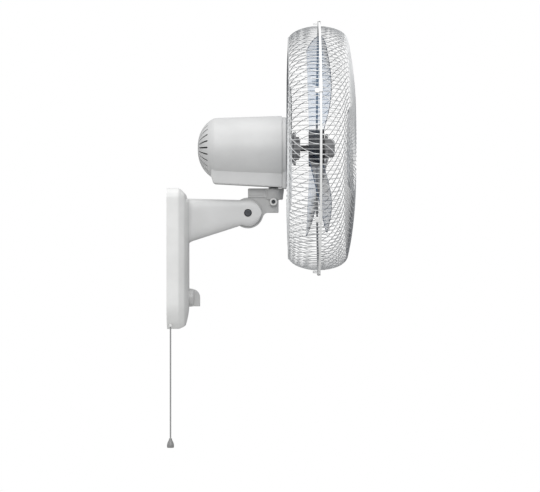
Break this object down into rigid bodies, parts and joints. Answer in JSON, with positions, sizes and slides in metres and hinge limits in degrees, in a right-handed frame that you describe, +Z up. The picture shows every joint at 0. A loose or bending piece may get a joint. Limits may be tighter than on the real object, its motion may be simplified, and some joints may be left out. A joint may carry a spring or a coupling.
{
  "type": "wall mounted fan",
  "caption": "Wall mounted fan: motor head with wire guards and translucent blades swings and tilts on an arm fixed to a control box with knob and pull cord.",
  "frame": {"origin": "centre of the wall plate's rear face, which lies on the wall", "axes": "+X out of the wall into the room, along the air flow; +Z up; Y across, the knob's side seen from the front"},
  "size_m": [0.3335, 0.45, 0.7571],
  "materials": {
    "white_plastic": "fine moulded satin, off-white",
    "grey_plastic": "satin mid grey moulding",
    "dark_grey_plastic": "satin dark grey moulding",
    "black_plastic": "satin black moulding",
    "guard_wire": "white powder coat on steel wire",
    "bright_white": "bright white moulding",
    "blue_translucent": "clear pale blue moulding",
    "steel": "turned and ground steel",
    "zinc": "die-cast zinc, bead blasted",
    "laminations": "stacked electrical steel",
    "copper": "enamelled copper wire",
    "brass": "turned brass",
    "cord_fibre": "braided grey cord"
  },
  "bodies": {
    "base": {"wall_plate": "zinc", "base_cover": "white_plastic", "support_arm": "white_plastic", "speed_switch": "black_plastic", "pull_switch": "black_plastic", "cord_outlet_bush": "white_plastic", "terminal_block": "white_plastic", "run_capacitor": "black_plastic", "mains_grommet": "black_plastic", "tilt_bolt": "steel", "tilt_nut": "zinc", "friction_washer_near": "black_plastic", "friction_washer_far": "black_plastic"},
    "neck": {"tilt_bracket": "grey_plastic", "swivel_lock_screw": "steel", "swivel_shaft": "steel", "anchor_lever": "zinc", "collar_washer": "black_plastic"},
    "head": {"rear_cover": "white_plastic", "front_cover": "white_plastic", "swivel_bracket": "zinc", "swing_motor": "steel", "stator": "laminations", "rear_winding": "copper", "front_winding": "copper", "rear_end_bell": "zinc", "front_end_bell": "zinc", "rear_bearing": "brass", "front_bearing": "brass", "rear_guard": "guard_wire", "front_guard": "guard_wire", "front_badge_disc": "bright_white", "clamp_ring": "bright_white", "guard_nut": "dark_grey_plastic", "guard_clip_1": "bright_white", "guard_clip_2": "bright_white", "guard_clip_3": "bright_white", "guard_clip_4": "bright_white", "guard_clip_5": "bright_white", "guard_clip_6": "bright_white"},
    "rotor": {"motor_shaft": "steel", "rotor_core": "laminations", "drive_pin": "steel", "hub_core": "black_plastic", "fan_blades": "blue_translucent", "spinner": "dark_grey_plastic"},
    "crank": {"swing_crank": "zinc"},
    "link": {"swing_link": "zinc"},
    "knob": {"speed_knob": "grey_plastic", "switch_spindle": "brass"},
    "cord": {"pull_lever": "white_plastic", "pull_cord": "cord_fibre", "pull_bell": "grey_plastic"}
  },
  "joints": [
    {"name": "head_tilt", "type": "hinge", "parent": "base", "child": "neck", "pos_m": [0.1427, 0, 0.081], "axis": [0, 1, 0], "range_deg": [-15, 30]},
    {"name": "head_swing", "type": "hinge", "parent": "neck", "child": "head", "pos_m": [0.188, 0, 0.196], "axis": [0, 0, 1], "range_deg": [-45, 45]},
    {"name": "blade_spin", "type": "hinge", "parent": "head", "child": "rotor", "pos_m": [0.188, 0, 0.196], "axis": [-1, 0, 0], "continuous": true},
    {"name": "crank_turn", "type": "hinge", "parent": "head", "child": "crank", "pos_m": [0.126, -0.005, 0.196], "axis": [0, 0, 1], "range_deg": [-90, 90]},
    {"name": "link_turn", "type": "hinge", "parent": "crank", "child": "link", "pos_m": [0.126, -0.01207, 0.196], "axis": [0, 0, 1], "range_deg": [-90, 90]},
    {"name": "knob_turn", "type": "hinge", "parent": "base", "child": "knob", "pos_m": [0.04, 0, -0.0696], "axis": [1, 0, 0], "range_deg": [-135, 0]},
    {"name": "cord_pull", "type": "slide", "parent": "base", "child": "cord", "axis": [0, 0, -1], "range_m": [0, 0.012], "stiffness_N_per_m": 250}
  ],
  "couplings": [
    {"joint": "crank_turn", "follows": "head_swing", "ratio": -2},
    {"joint": "link_turn", "follows": "head_swing", "ratio": 2}
  ]
}
